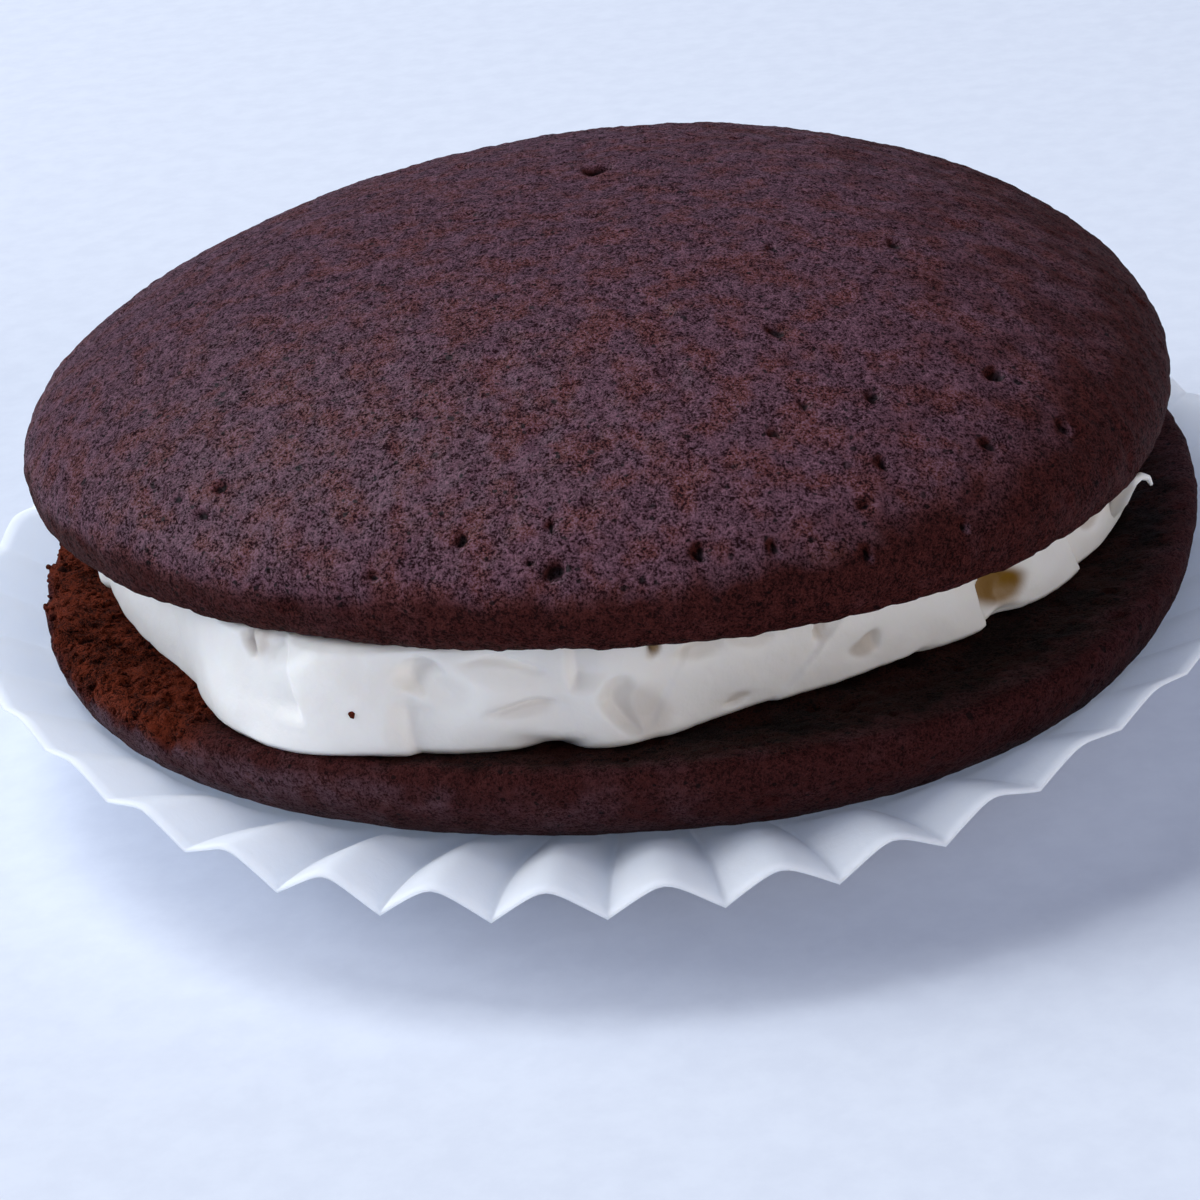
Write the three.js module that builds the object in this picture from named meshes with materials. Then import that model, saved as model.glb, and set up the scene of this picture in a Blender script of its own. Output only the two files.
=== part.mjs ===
// A chocolate whoopie pie: two domed cakes, flat sides together, with a thick layer of whipped cream
// between them, resting in a fluted paper case that the pie has pressed open like a saucer.
// Millimetres, +Z up. The origin is the middle of the paper's footprint on the table, and -Y is the front.
// A bearing is a plan angle from the front, positive towards +X.
import * as THREE from "three";

// Driving dimensions
const TOP_RADIUS = 49.1;
const TOP_EDGE_HEIGHT = 3.6; // from the flat underside up to the widest line
const TOP_SHOULDER_HEIGHT = 4.9; // from the widest line up, over the rounded edge
const TOP_CAP_HEIGHT = 11; // from the rounded edge up to the crown
const TOP_SHIFT_X = 0.25;
const BOTTOM_RADIUS = 50.8;
const BOTTOM_DEPTH = 14.8; // from the rim down to the crown, which points down
const CREAM_GAP = 8.9; // from the bottom cake's rim up to the top cake's underside
const CREAM_RADIUS = 43.2;
const PAPER_RADIUS = 57;
const PAPER_BASE_RADIUS = 24;
const PAPER_THICKNESS = 0.3;
const FLUTES = 42;
const FLUTE_HEIGHT = 2.4; // valley to crest, at the paper's edge
const SEAT_GAP = 0.15; // air between pieces that touch

// Levels worked out from them
const BOTTOM_CROWN_Z = PAPER_THICKNESS + SEAT_GAP;
const RIM_Z = BOTTOM_CROWN_Z + BOTTOM_DEPTH;
const FACE_Z = RIM_Z - 0.8; // the bottom cake's flat side is a little lower than its rim
const TOP_Z = RIM_Z + CREAM_GAP;

const CAKE_COLOUR = 0x4a2f2c;
const CREAM_COLOUR = 0xf1eee6;
const PAPER_COLOUR = 0xe9edf8;

const radians = THREE.MathUtils.degToRad;

// How far a hand-spooned cake's outline swells: so many lobes, by so much, the first at that bearing.
const TOP_LOBES = [
  { count: 2, by: 0.7, at: -24 },
  { count: 3, by: 1.32, at: 39 },
  { count: 4, by: 0.23, at: 30 },
];
const BOTTOM_LOBES = [
  { count: 2, by: 1.09, at: 83 },
  { count: 3, by: 1.07, at: -2 },
  { count: 4, by: 1.38, at: 37 },
];
const swell = (lobes, bearing) =>
  lobes.reduce((sum, { count, by, at }) => sum + by * Math.cos(count * (bearing - radians(at))), 0);

// Where the spread cream bulges out or was scooped in, each with the bearing, the reach and the half width.
const CREAM_SWELLS = [
  { at: -88, out: 2.0, wide: 12 },
  { at: -34, out: 5.8, wide: 10 },
  { at: -15, out: 1.7, wide: 8 },
  { at: -1, out: 2.0, wide: 5 },
  { at: 25, out: -3.2, wide: 19 },
  { at: 90, out: 1.6, wide: 12 },
  { at: 140, out: 2.6, wide: 18 },
  { at: 196, out: -1.8, wide: 22 },
  { at: 232, out: 1.6, wide: 14 },
];
// Creases that the knife left in the cream's wall.
const CREAM_CREASES = [
  { at: -58, out: -0.6, wide: 3 },
  { at: -36, out: -1.1, wide: 3 },
  { at: -20, out: -0.9, wide: 3 },
  { at: -8, out: -0.8, wide: 3 },
  { at: 3, out: -1.0, wide: 4 },
  { at: 43, out: -1.3, wide: 3 },
  { at: 56, out: -1.0, wide: 3 },
  { at: 104, out: -1.1, wide: 4 },
  { at: 165, out: -0.9, wide: 4 },
  { at: 210, out: -1.2, wide: 4 },
  { at: 255, out: -0.9, wide: 4 },
];
const bumps = (list, bearing) =>
  list.reduce((sum, { at, out, wide }) => {
    const turn = Math.atan2(Math.sin(bearing - radians(at)), Math.cos(bearing - radians(at)));
    return sum + out * Math.exp(-0.5 * (turn / radians(wide)) ** 2);
  }, 0);

const smooth = (low, high, value) => THREE.MathUtils.smoothstep(value, low, high);

// A repeatable value from 0 to 1 for a place on a rough surface.
function grain(a, b) {
  const wave = Math.sin(a * 12.9898 + b * 78.233) * 43758.5453;
  return wave - Math.floor(wave);
}

// The bottom cake's flat side is dished: it climbs from FACE_Z to its rim over the outer part of its radius.
const DISH_SHARE = 0.86;
const LIP_SHARE = 0.97;
const dish = (share) =>
  (RIM_Z - FACE_Z) * THREE.MathUtils.clamp((share - DISH_SHARE) / (LIP_SHARE - DISH_SHARE), 0, 1);

// Turns a profile of [radius, height] points round the Z axis. Each vertex is then moved by place(bearing, radius,
// height), which gives its final [bearing, radius, height].
function turned(profile, sides, place) {
  const points = profile.map(([radius, height]) => new THREE.Vector2(radius, height));
  const geometry = new THREE.LatheGeometry(points, sides);
  geometry.rotateX(Math.PI / 2); // the lathe's axis becomes Z, with its seam at the front
  const position = geometry.getAttribute("position");
  for (let i = 0; i < position.count; i++) {
    const x = position.getX(i);
    const y = position.getY(i);
    const [bearing, radius, height] = place(Math.atan2(x, -y), Math.hypot(x, y), position.getZ(i));
    position.setXYZ(i, radius * Math.sin(bearing), -radius * Math.cos(bearing), height);
  }
  geometry.computeVertexNormals();
  return geometry;
}

// Shares of a radius from 0 to 1 that crowd towards the rim, where a dome bends most.
const rimwards = (steps) =>
  Array.from({ length: steps + 1 }, (_, i) => Math.sin((Math.PI / 2) * (i / steps)));

// The height of a dome at a share of its radius. More flatness gives a broader top, more fullness a steeper rim.
const dome = (share, height, { flatness, fullness }) =>
  height * Math.pow(Math.max(0, 1 - Math.pow(share, flatness)), 1 / fullness);

function topCake() {
  const SIDES = 84;
  const UNDERCUT = 2.2; // how far the rounded edge draws in to meet the underside
  const SHOULDER = { flatness: 14, fullness: 2 };
  const CAP = { flatness: 2.73, fullness: 0.81 };
  const lip = [0, 0.3, 0.65, 1].map((share) => {
    const turn = (share * Math.PI) / 2;
    return [TOP_RADIUS - UNDERCUT * (1 - Math.sin(turn)), TOP_EDGE_HEIGHT * (1 - Math.cos(turn))];
  });
  const upper = rimwards(14)
    .map((share) => {
      const shoulder = dome(share, TOP_SHOULDER_HEIGHT, SHOULDER);
      const cap = dome(share, TOP_CAP_HEIGHT, CAP);
      return [TOP_RADIUS * share, TOP_EDGE_HEIGHT + shoulder + cap];
    })
    .reverse()
    .slice(1);
  const profile = [[0, 0], [TOP_RADIUS * 0.6, 0], ...lip, ...upper];
  const geometry = turned(profile, SIDES, (bearing, radius, height) => {
    return [bearing, radius * (1 + swell(TOP_LOBES, bearing) / TOP_RADIUS), height];
  });
  return piece("top_cake", geometry, CAKE_COLOUR, 0.6, [TOP_SHIFT_X, 0, TOP_Z]);
}

// The bottom cake's underside: how its outline grows at a bearing, and its height at a share of its radius.
const LIP = 1.2; // the rim is a rounded lip of this radius
const BELLY = { flatness: 2.3, fullness: 2.15 };
const bellyGrowth = (bearing, share) => 1 + (swell(BOTTOM_LOBES, bearing) * smooth(0.3, 1, share)) / BOTTOM_RADIUS;
const bellyHeight = (share) => RIM_Z - LIP - dome(share, BOTTOM_DEPTH - LIP, BELLY);

function bottomCake() {
  const SIDES = 108;
  const TORN_AT = radians(-74); // where the skin of the rim was torn away
  const TORN_HALF = radians(34);
  const TORN_IN = 0.8;
  const TORN_DOWN = 0.9;
  const lower = rimwards(11).map((share) => [BOTTOM_RADIUS * share, bellyHeight(share)]);
  const lip = [0.35, 0.7, 1.0].map((share) => {
    const turn = (share * Math.PI) / 2;
    return [BOTTOM_RADIUS - LIP * (1 - Math.cos(turn)), RIM_Z - LIP * (1 - Math.sin(turn))];
  });
  const face = [0.915, DISH_SHARE, 0.5, 0].map((share) => [BOTTOM_RADIUS * share, FACE_Z + dish(share)]);
  const geometry = turned([...lower, ...lip, ...face], SIDES, (bearing, radius, height) => {
    const share = radius / BOTTOM_RADIUS;
    const reach = radius * bellyGrowth(bearing, share);
    const torn =
      (1 - smooth(TORN_HALF * 0.75, TORN_HALF, Math.abs(bearing - TORN_AT))) *
      smooth(RIM_Z - 3 * LIP, RIM_Z - LIP, height) *
      smooth(0.9, 0.95, share);
    const crag = grain(Math.round(bearing * 90), Math.round(radius * 4));
    return [bearing, reach - torn * TORN_IN * crag, height - torn * TORN_DOWN * crag];
  });
  return piece("bottom_cake", geometry, CAKE_COLOUR, 0.65, [0.15, 0, 0]);
}

function creamFilling() {
  const SIDES = 108;
  const LEAN = 1.2; // the wall leans in by this much at the top
  const BULGE = 0.3;
  const SLANT = radians(5); // how far a crease leans sideways from the foot to the top
  const low = FACE_Z + SEAT_GAP;
  const high = TOP_Z - SEAT_GAP;
  const wall = [0, 0.12, 0.35, 0.65, 0.9, 1.0].map((share) => [
    CREAM_RADIUS - LEAN * share * share + BULGE * Math.sin(Math.PI * share),
    THREE.MathUtils.lerp(low, high, share),
  ]);
  const profile = [[0, low], [CREAM_RADIUS * 0.9, low], ...wall, [CREAM_RADIUS * 0.5, high], [0, high]];
  const geometry = turned(profile, SIDES, (bearing, radius, height) => {
    const level = (height - low) / (high - low);
    const crease = bumps(CREAM_CREASES, bearing + SLANT * (level - 0.5)) * Math.sin(Math.PI * level);
    const outer = smooth(0.6, 0.95, radius / CREAM_RADIUS);
    const reach = radius + outer * (bumps(CREAM_SWELLS, bearing) + crease);
    const rise = dish(reach / (BOTTOM_RADIUS + swell(BOTTOM_LOBES, bearing)));
    return [bearing, reach, height + rise * (1 - level)];
  });
  return piece("cream_filling", geometry, CREAM_COLOUR, 0.45, [0, 0, 0]);
}

// The paper's wall: it leaves the flat base, hugs the cake's belly and flares out beyond it, folded into flutes that
// deepen towards the edge. It stands higher at the sides, where its flutes are pulled flatter.
function paperCase() {
  const STEPS_PER_FLUTE = 4; // crest, flank, valley, flank
  const WALL_STEPS = 6;
  const EDGE_LIFT = 9; // mean height of the edge above the table at the front
  const SIDE_LIFT = 4.7; // how much higher the edge stands at the sides
  const SIDE_FLARE = 4; // how closely that is kept to the edge
  const SIDE_TWIST = radians(5);
  const SIDE_FLATTENING = 0.65;
  const BELLY_GAP = 0.9; // air kept between the paper and the cake's belly
  const FIRST_CREST = radians(0.8);
  const MEAN_FOLD = 2 / Math.PI;
  const radii = Array.from({ length: WALL_STEPS + 1 }, (_, i) =>
    THREE.MathUtils.lerp(PAPER_BASE_RADIUS, PAPER_RADIUS, i / WALL_STEPS),
  );
  const under = radii.map((radius) => [radius, 0]);
  const over = radii.map((radius) => [radius, PAPER_THICKNESS]).reverse();
  const profile = [[0, 0], ...under, ...over, [0, PAPER_THICKNESS]];
  const geometry = turned(profile, FLUTES * STEPS_PER_FLUTE, (turn, radius, height) => {
    const bearing = turn + FIRST_CREST;
    const out = Math.max(0, (radius - PAPER_BASE_RADIUS) / (PAPER_RADIUS - PAPER_BASE_RADIUS));
    const side = smooth(0.03, 0.68, Math.sin(bearing + SIDE_TWIST) ** 2);
    const fold = Math.abs(Math.cos((FLUTES * turn) / 2)); // 1 on a crest, 0 in a sharp valley
    const flute = FLUTE_HEIGHT * (1 - SIDE_FLATTENING * side) * out * (fold - MEAN_FOLD);
    const lift = EDGE_LIFT * smooth(0, 1, out) + SIDE_LIFT * side * Math.pow(out, SIDE_FLARE) + flute;
    const share = radius / BOTTOM_RADIUS / bellyGrowth(bearing, radius / BOTTOM_RADIUS);
    const room = share < 1 ? bellyHeight(share) - PAPER_THICKNESS - BELLY_GAP : Infinity;
    return [bearing, radius, height + Math.max(0, Math.min(lift, room))];
  });
  return piece("paper_case", geometry, PAPER_COLOUR, 0.8, [0, 0, 0]);
}

function piece(name, geometry, colour, roughness, place) {
  const material = new THREE.MeshStandardMaterial({ color: colour, roughness, metalness: 0 });
  const mesh = new THREE.Mesh(geometry, material);
  mesh.name = name;
  mesh.position.set(...place);
  return mesh;
}

const whoopiePie = new THREE.Group();
whoopiePie.add(paperCase(), bottomCake(), creamFilling(), topCake());

export default whoopiePie;
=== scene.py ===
"""A chocolate whoopie pie in its opened paper case, dressed around its solids."""

import math

import bpy
import numpy as np
from mathutils import Matrix, Vector


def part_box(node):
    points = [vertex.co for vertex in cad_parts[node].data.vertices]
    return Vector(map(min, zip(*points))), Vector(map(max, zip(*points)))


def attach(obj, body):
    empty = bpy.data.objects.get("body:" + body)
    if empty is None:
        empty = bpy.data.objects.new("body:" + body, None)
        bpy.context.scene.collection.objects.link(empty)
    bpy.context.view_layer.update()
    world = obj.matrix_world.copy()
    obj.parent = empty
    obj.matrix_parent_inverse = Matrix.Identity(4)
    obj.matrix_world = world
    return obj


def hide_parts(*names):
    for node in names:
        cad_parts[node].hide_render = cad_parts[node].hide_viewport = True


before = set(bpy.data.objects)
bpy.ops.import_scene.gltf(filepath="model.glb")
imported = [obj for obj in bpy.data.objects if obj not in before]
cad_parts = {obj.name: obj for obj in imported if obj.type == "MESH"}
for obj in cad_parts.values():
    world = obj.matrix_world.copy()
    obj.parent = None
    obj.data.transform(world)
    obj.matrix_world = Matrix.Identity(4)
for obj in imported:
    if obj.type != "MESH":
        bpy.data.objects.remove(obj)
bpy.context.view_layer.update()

MM = 0.001

# Sizes of the pie in millimetres. A bearing is a plan angle in degrees from the front, positive to
# the right.
TOP_RADIUS = 49.1
TOP_EDGE_HEIGHT = 3.6
TOP_SHOULDER = (4.9, 14, 2)
TOP_CAP = (11, 2.73, 0.81)
TOP_UNDERCUT = 2.2
TOP_SHIFT_X = 0.25
TOP_LOBES = ((2, 0.7, -24), (3, 1.32, 39), (4, 0.23, 30))
BOTTOM_RADIUS = 50.8
BOTTOM_SHIFT_X = 0.15
BOTTOM_LIP = 1.2
BOTTOM_BELLY = (2.3, 2.15)
BOTTOM_LOBES = ((2, 1.09, 83), (3, 1.07, -2), (4, 1.38, 37))
BOTTOM_SHOWN_FROM = 38
DISH_DEPTH = 0.8
DISH_START = 0.86
DISH_RUN = 0.11
CREAM_RADIUS = 43.2
CREAM_LEAN = 1.2
CREAM_BULGE = 0.3
CREAM_SWELLS = (
    (-88, 2.0, 12),
    (-34, 5.8, 10),
    (-15, 1.7, 8),
    (-1, 2.0, 5),
    (25, -3.2, 19),
    (90, 1.6, 12),
    (140, 2.6, 18),
    (196, -1.8, 22),
    (232, 1.6, 14),
)
CREAM_CREASES = (
    (-58, -0.6, 3),
    (-36, -1.1, 3),
    (-20, -0.9, 3),
    (-8, -0.8, 3),
    (3, -1.0, 4),
    (43, -1.3, 3),
    (56, -1.0, 3),
    (104, -1.1, 4),
    (165, -0.9, 4),
    (210, -1.2, 4),
    (255, -0.9, 4),
)
CREAM_SLANT = 5
CREAM_SKIN = 0.4
CREAM_FOOT_ROUNDING = 0.35
CREAM_TOP_ROUNDING = 0.5
PAPER_RADIUS = 57
PAPER_BASE_RADIUS = 24
PAPER_THICKNESS = 0.3
FLUTES = 42
FLUTE_HEIGHT = 2.4
FIRST_CREST = 0.8
EDGE_LIFT = 9
SIDE_LIFT = 4.7
SIDE_FLARE = 4
SIDE_TWIST = 5
SIDE_FLATTENING = 0.65
SIDE_SPREAD = (0.03, 0.68)
FOLD_ROUNDING = 0.25
FOLD_SPAN = 0.781
BELLY_GAP = 0.7

# Levels in millimetres, from the solids themselves.
TOP_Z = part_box("top_cake")[0].z / MM
RIM_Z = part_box("bottom_cake")[1].z / MM
CROWN_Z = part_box("bottom_cake")[0].z / MM
CREAM_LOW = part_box("cream_filling")[0].z / MM
CREAM_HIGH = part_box("cream_filling")[1].z / MM
FACE_Z = RIM_Z - DISH_DEPTH

# The torn place on the bottom cake's rim.
TORN_AT = -74
TORN_HALF = 34

# The way that the driest crust faces on each cake, towards the side the main light comes from, where it is
# painted lighter and greyer as a dry crust with a painted sheen of light; how much at most, and how far it
# must face that way to be lightened at all. FULL_DRYNESS_AND_SHEEN is the facing from which it is lightest,
# and RIM_PAINTED_HIGHLIGHT is how much painted highlight lies along the top of the bottom cake's rim.
TOP_DRYNESS_AND_SHEEN = (-0.44, -0.3, 0.846, 1.0, 0.35)
BOTTOM_DRYNESS_AND_SHEEN = (-0.8, -0.5, -0.3, 0.5, 0.4)
FULL_DRYNESS_AND_SHEEN = 0.93
RIM_PAINTED_HIGHLIGHT = 0.1

# How deep the widest pits and holes are, in millimetres.
PIT_DEPTH = 0.9

# Pits in the top crust: x, y and half width in millimetres.
TOP_PITS = (
    (1.1, 6.9, 1.35),
    (-4.8, -47.1, 0.75),
    (27.8, -37.3, 0.65),
    (13.5, -27.7, 0.75),
    (10.9, -47.0, 0.5),
    (19.8, -34.6, 0.6),
    (34.2, -32.7, 0.6),
    (29.7, -29.7, 0.75),
    (-29.9, -32.9, 0.55),
    (-31.2, -34.1, 0.45),
    (19.8, -40.8, 0.55),
    (-4.8, -44.5, 0.45),
    (-11.5, -43.8, 0.6),
    (18.0, -44.0, 0.4),
    (-18.0, -43.8, 0.4),
    (11.9, -38.5, 0.45),
    (25.1, -43.4, 0.45),
    (24.2, -12.3, 0.7),
    (14.2, -14.5, 0.5),
    (8.4, -41.6, 0.35),
    (-6.9, -46.3, 0.35),
    (-33.3, -31.8, 0.45),
    (14.5, -35.6, 0.45),
    (17.7, -46.4, 0.5),
    (5.5, -47.2, 0.6),
)

# Holes in the torn cake: x, y and half width in millimetres.
TORN_HOLES = (
    (-44.9, -17.4, 0.95),
    (-42.4, -17.9, 0.75),
    (-41.0, -20.4, 0.6),
    (-44.6, -11.0, 0.5),
    (-40.6, -26.4, 0.55),
    (-36.6, -30.6, 0.45),
    (-38.6, -27.2, 0.5),
)

# Dents in the cream's wall: bearing, level from the foot, half width, half height and depth in
# millimetres, how much warm amber shade is painted in the dent, and which way its sharp rim lies in
# degrees from the right, or None for a dent that is soft all round.
CREAM_DENTS = (
    (-36.2, 0.93, 1.3, 1.7, 1.3, 0.30, 180),
    (-33.6, 0.97, 3.0, 1.9, 1.2, 0.05, None),
    (-18.9, 0.62, 2.6, 2.1, 1.7, 0.06, 140),
    (-20.9, 0.38, 2.0, 3.0, 0.6, 0.0, 180),
    (-10.4, 0.36, 2.4, 0.8, 0.8, 0.12, 110),
    (-13.0, 0.72, 3.0, 1.3, 0.8, 0.0, 60),
    (0.3, 0.30, 2.5, 2.7, 1.6, 0.2, 165),
    (2.5, 0.76, 0.65, 1.2, 1.5, 0.9, 180),
    (8.0, 0.64, 2.3, 1.0, 1.1, 0.16, 100),
    (12.6, 0.62, 1.9, 0.9, 1.0, 0.12, 70),
    (10.6, 0.13, 1.1, 0.5, 0.6, 0.3, 270),
    (21.4, 0.52, 0.6, 1.0, 0.9, 0.3, 180),
    (26.6, 0.27, 1.5, 1.0, 0.8, 0.42, 20),
    (46.9, 0.25, 2.5, 1.9, 1.5, 1.0, 180),
    (64.5, 0.36, 1.6, 0.9, 0.6, 0.4, None),
    (-8.9, 0.0, 2.2, 1.0, 2.0, 0.0, None),
    (33.0, 0.0, 1.6, 0.5, 0.6, 0.0, None),
    (46.5, 0.0, 2.0, 0.8, 1.2, 0.0, None),
    (118.0, 0.5, 2.6, 2.2, 0.9, 0.0, 130),
    (150.0, 0.35, 3.2, 1.8, 0.8, 0.0, 90),
    (182.0, 0.55, 2.2, 2.4, 1.0, 0.1, 150),
    (224.0, 0.4, 3.0, 2.0, 0.9, 0.0, 120),
    (262.0, 0.5, 2.4, 2.2, 0.8, 0.05, 100),
)

# Folds where one sweep of the knife ends on another: bearing, slant from foot to top in degrees, drop in
# millimetres, how far the drop reaches, to the right or else, below zero, to the left, and the levels
# that it starts and ends at.
CREAM_FOLDS = (
    (-56.0, -16.0, 0.4, -5.0, -0.2, 1.2),
    (-31.4, -4.0, 0.9, -3.0, 0.25, 1.2),
    (-22.8, -3.0, 0.8, 4.0, -0.2, 0.55),
    (-6.1, 0.0, 1.2, 4.0, 0.45, 1.2),
    (4.6, 8.0, 0.25, -3.0, 0.0, 0.75),
    (22.6, 15.0, 0.35, -5.0, -0.2, 1.2),
    (43.2, 0.0, 0.7, 4.0, -0.2, 0.75),
    (58.0, -5.0, 1.0, 4.0, -0.2, 1.2),
    (84.0, 10.0, 0.8, 5.0, -0.2, 1.2),
    (112.0, 12.0, 0.7, -6.0, -0.2, 1.2),
    (139.0, -9.0, 0.8, 5.0, -0.2, 0.8),
    (168.0, 6.0, 0.7, -5.0, 0.2, 1.2),
    (203.0, -12.0, 0.9, 6.0, -0.2, 1.2),
    (238.0, 8.0, 0.7, -4.0, -0.2, 0.9),
    (276.0, -6.0, 0.8, 5.0, -0.2, 1.2),
)

# The wisp of cream at the right end, from its root: radius, bearing, height and half thickness in
# millimetres.
WISP = (
    (43.2, 71.0, 16.6, 0.9),
    (44.4, 69.0, 18.2, 0.75),
    (45.3, 67.2, 19.8, 0.55),
    (46.0, 66.2, 20.9, 0.4),
    (46.5, 66.9, 21.2, 0.32),
    (46.9, 68.0, 20.7, 0.26),
    (47.1, 68.6, 19.9, 0.15),
)

# Odd crumbs: bearing, height, half size and how far each stands out from the cream's wall, in
# millimetres. The cream's dents under them are worked out at one reach for all.
ODD_CRUMBS = (
    (-26.0, 19.1, 0.42, 0.1),
    (-7.3, 24.35, 0.5, 2.4),
    (-6.4, 24.2, 0.36, 2.3),
)
CRUMB_REACH = 45.0

# Lumps on the crumbs of the torn place: their size, and how far they push a crumb's skin, in metres.
CRUMB_LUMP_SIZE = 1 / 1600
CRUMB_LUMP_PUSH = 0.0007

# The photograph's camera: how far it stands from the middle of the rim, its lean and its aim.
CAMERA_DISTANCE = 260
CAMERA_ELEVATION = 23.5
CAMERA_ROLL = 5.58
CAMERA_AIM = (-2.31, -8.41)
CAMERA_LENS = 88.31
SENSOR_WIDTH = 36

# The lights: name, place and size in metres, power in watts and colour. All aim at one point.
LIGHTS = (
    ("window", (-1.55, -0.1, 0.92), 1.0, 18.2, (0.90, 0.97, 1.06)),
    ("far window", (-0.80, 0.52, 1.52), 1.0, 19.3, (0.90, 0.97, 1.06)),
    ("room", (1.23, -1.23, 0.47), 0.8, 9.0, (1.04, 0.98, 0.93)),
)
LIGHT_AIM = (0, 0, 0.02)
SKY_COLOUR = (0.80, 0.93, 1.33)
SKY_STRENGTH = 0.28

# The table's half width, and how far it lies under the paper, in metres.
TABLE_HALF = 1.5
TABLE_DROP = 0.00002

# Colours of each crust: painted shade in its valleys where moist and where dry, its skin where moist, dry
# and rusty, the painted highlight of its brightest crests, its torn crumb, and the rough damp crumb where
# the cream was spread.
TOP_COLOURS = {
    "deep": (0.023, 0.0042, 0.0034),
    "dark": (0.028, 0.0064, 0.0094),
    "moist": (0.070, 0.0132, 0.0110),
    "dry": (0.168, 0.070, 0.097),
    "rust": (0.186, 0.044, 0.034),
    "pale": (0.318, 0.141, 0.182),
    "warm": (0.10, 0.028, 0.014),
    "rough": (0.05, 0.010, 0.006),
}
BOTTOM_COLOURS = {
    "deep": (0.030, 0.0060, 0.0054),
    "dark": (0.048, 0.0125, 0.0145),
    "moist": (0.072, 0.0150, 0.0134),
    "dry": (0.155, 0.068, 0.086),
    "rust": (0.135, 0.035, 0.030),
    "pale": (0.215, 0.105, 0.132),
    "warm": (0.21, 0.033, 0.012),
    "rough": (0.036, 0.0066, 0.0038),
}
# Painted shade: in the low places of torn crumb and of damp crumb, and in pits, pores and hollows.
CRUMB_PAINTED_SHADE = (0.03, 0.0058, 0.003)
DAMP_PAINTED_SHADE = (0.0045, 0.0011, 0.0009)
HOLE_PAINTED_SHADE = (0.008, 0.0022, 0.002)

# Colours of the cream, the paper and the table, each between two close ones, and of the warm amber shade
# painted in the cream's pockets and dents.
CREAM_COLOURS = ((0.89, 0.84, 0.765), (0.92, 0.88, 0.805))
POCKET_SHADE_COLOUR = (0.24, 0.115, 0.003)
PAPER_COLOURS = ((0.83, 0.88, 0.99), (0.86, 0.905, 1.0))
TABLE_COLOURS = ((0.73, 0.745, 0.785), (0.77, 0.785, 0.82))

# Sizes in the crust's look, in metres.
RAGGED_SIZE = 0.0005
RAGGED_PUSH = 0.0004
PATCH_SIZE = 0.0042
STAIN_SIZE = 0.0031
LUMP_SIZE = 0.0016
DOT_SIZE = 0.0006
GRAIN_SIZE = 0.0002
PORE_GAP = 0.0008
WIDE_PORE_GAP = 0.0013
CRUST_BUMP = 0.0008


class Value:
    """An output of a node. Arithmetic on it adds Math nodes to its tree."""

    def __init__(self, nodes, socket):
        self.nodes = nodes
        self.socket = socket

    def __add__(self, other):
        return self.nodes.math("ADD", self, other)

    def __radd__(self, other):
        return self.nodes.math("ADD", other, self)

    def __sub__(self, other):
        return self.nodes.math("SUBTRACT", self, other)

    def __rsub__(self, other):
        return self.nodes.math("SUBTRACT", other, self)

    def __mul__(self, other):
        return self.nodes.math("MULTIPLY", self, other)

    def __rmul__(self, other):
        return self.nodes.math("MULTIPLY", other, self)

    def __truediv__(self, other):
        return self.nodes.math("DIVIDE", self, other)

    def __rtruediv__(self, other):
        return self.nodes.math("DIVIDE", other, self)

    def __pow__(self, other):
        return self.nodes.math("POWER", self, other)


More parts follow.
